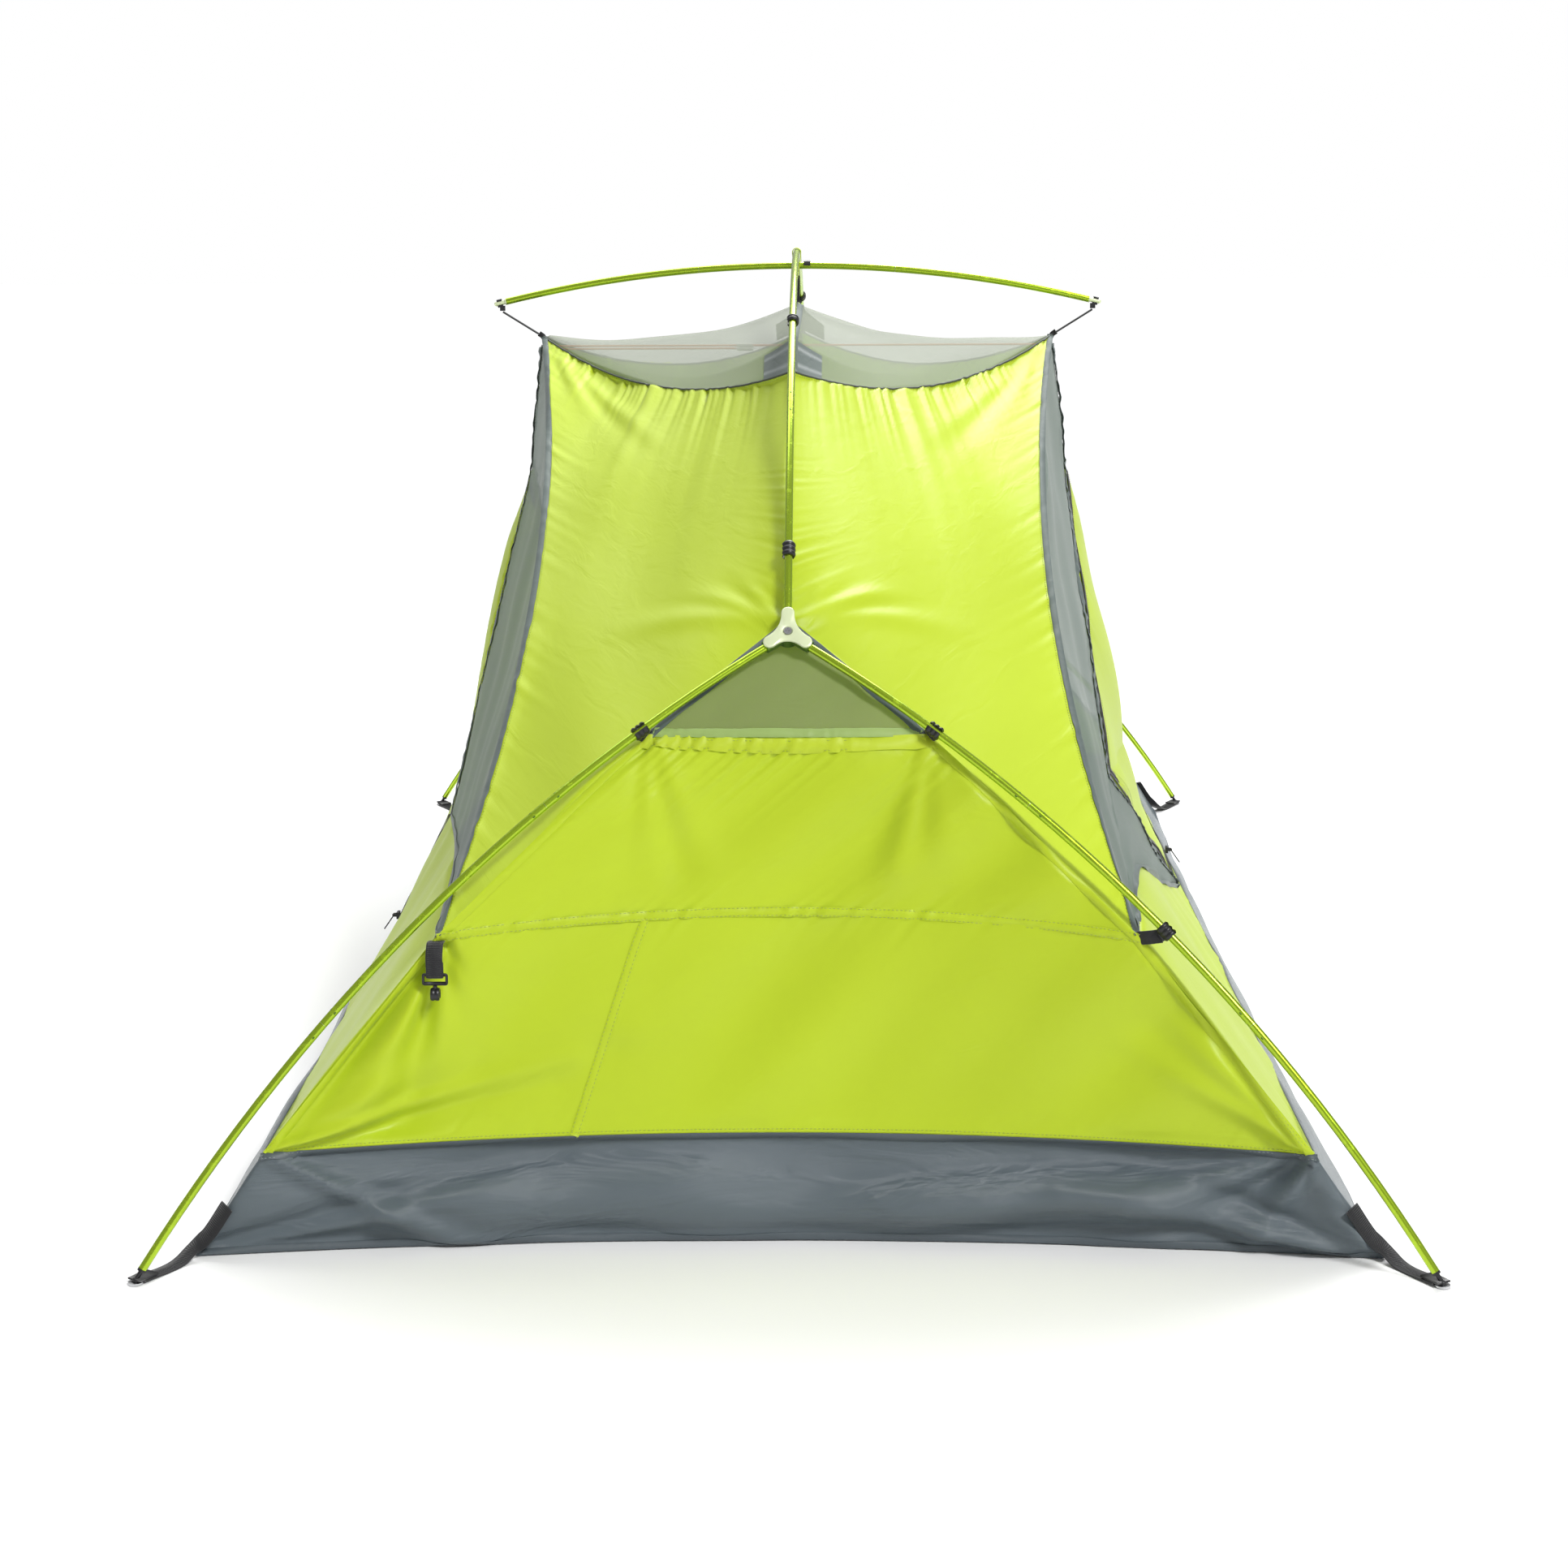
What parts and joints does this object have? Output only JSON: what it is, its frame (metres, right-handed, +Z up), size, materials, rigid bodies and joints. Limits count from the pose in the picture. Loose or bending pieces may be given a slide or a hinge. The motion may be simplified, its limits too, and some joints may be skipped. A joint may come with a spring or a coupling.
{
  "type": "backpacking tent",
  "caption": "Two-person freestanding tent body without its fly, mesh and ripstop panels clipped under a hubbed folding pole frame, with hinged zip doors and a bathtub floor.",
  "frame": {"origin": "on the ground, at the middle of the floor's underside", "axes": "+Z up; Y along the tent's length, with the end that has the hanging clip at -Y; +X to the right seen from that end"},
  "size_m": [1.382, 2.298, 1.0375],
  "materials": {
    "pole": "green anodised, satin",
    "bare_alloy": "natural satin",
    "screw": "bright",
    "elastic": "braided cover",
    "hub_body": "moulded",
    "hub_cap": "moulded",
    "black_plastic": "moulded nylon",
    "black_webbing": "woven webbing",
    "lime_cloth": "coated ripstop",
    "grey_mesh": "fine no-see-um mesh",
    "floor_cloth": "coated taffeta",
    "orange_cord": "braided cord"
  },
  "bodies": {
    "tent": {"leg_pole_front_left": "pole", "leg_pole_front_right": "pole", "leg_pole_rear_left": "pole", "leg_pole_rear_right": "pole", "ridge_pole_1": "pole", "ridge_pole_2": "pole", "ridge_pole_3": "pole", "ridge_pole_4": "pole", "ridge_pole_5": "pole", "cross_pole_left": "pole", "cross_pole_centre": "pole", "cross_pole_right": "pole", "leg_ferrules": "bare_alloy", "ridge_ferrules": "bare_alloy", "cross_pole_ferrules": "bare_alloy", "leg_shock_cords": "elastic", "ridge_shock_cord": "elastic", "cross_pole_shock_cord": "elastic", "hub_front": "hub_body", "hub_rear": "hub_body", "hub_cap_front": "hub_cap", "hub_cap_rear": "hub_cap", "hub_screws": "screw", "pole_feet": "black_plastic", "foot_grommets": "bare_alloy", "foot_webbing": "black_webbing", "cross_pole_tips": "hub_cap", "corner_hooks": "black_plastic", "corner_elastics": "elastic", "ridge_clips": "black_plastic", "upper_leg_clips": "black_plastic", "lower_leg_clips": "black_plastic", "loose_clip_strap": "black_webbing", "crossing_clip": "black_plastic", "crossing_loop": "lime_cloth", "floor": "floor_cloth", "bathtub_wall": "floor_cloth", "end_wall_front": "lime_cloth", "end_wall_rear": "lime_cloth", "end_mesh_front": "grey_mesh", "end_mesh_rear": "grey_mesh", "wing_front": "lime_cloth", "wing_rear": "lime_cloth", "roof_mesh": "grey_mesh", "side_mesh_left": "grey_mesh", "side_mesh_right": "grey_mesh", "side_panel_left": "lime_cloth", "side_panel_right": "lime_cloth", "drying_line": "orange_cord"},
    "door_left": {"door_left": "lime_cloth", "door_zip_left": "black_webbing"},
    "door_right": {"door_right": "lime_cloth", "door_zip_right": "black_webbing"},
    "slider_left": {"zip_slider_left": "black_plastic"},
    "slider_right": {"zip_slider_right": "black_plastic"},
    "pull_left": {"zip_pull_left": "black_webbing"},
    "pull_right": {"zip_pull_right": "black_webbing"},
    "hanging_clip": {"loose_clip": "black_plastic"},
    "line_lock": {"line_lock": "hub_cap"}
  },
  "joints": [
    {"name": "door_left_hinge", "type": "hinge", "parent": "tent", "child": "door_left", "pos_m": [-0.45494, -0.3, 0.31201], "axis": [0.1628, 0.5619, 0.811], "range_deg": [0, 110]},
    {"name": "door_right_hinge", "type": "hinge", "parent": "tent", "child": "door_right", "pos_m": [0.45494, 0.3, 0.31201], "axis": [-0.1628, -0.5619, 0.811], "range_deg": [0, 110]},
    {"name": "slider_left_slide", "type": "slide", "parent": "door_left", "child": "slider_left", "axis": [0.0217, 0.9998, 0], "range_m": [0, 0.16]},
    {"name": "slider_right_slide", "type": "slide", "parent": "door_right", "child": "slider_right", "axis": [-0.0217, -0.9998, 0], "range_m": [0, 0.16]},
    {"name": "pull_left_hinge", "type": "hinge", "parent": "slider_left", "child": "pull_left", "pos_m": [-0.55492, -0.18787, 0.1435], "axis": [0.0217, 0.9998, 0], "range_deg": [0, 95]},
    {"name": "pull_right_hinge", "type": "hinge", "parent": "slider_right", "child": "pull_right", "pos_m": [0.55492, 0.18787, 0.1435], "axis": [-0.0217, -0.9998, 0], "range_deg": [0, 95]},
    {"name": "hanging_clip_hinge", "type": "hinge", "parent": "tent", "child": "hanging_clip", "pos_m": [-0.37394, -1.02296, 0.30101], "axis": [-1, 0, 0], "range_deg": [-4, 60]},
    {"name": "line_lock_slide", "type": "slide", "parent": "tent", "child": "line_lock", "axis": [-1, 0, 0], "range_m": [0, 0.15]}
  ]
}
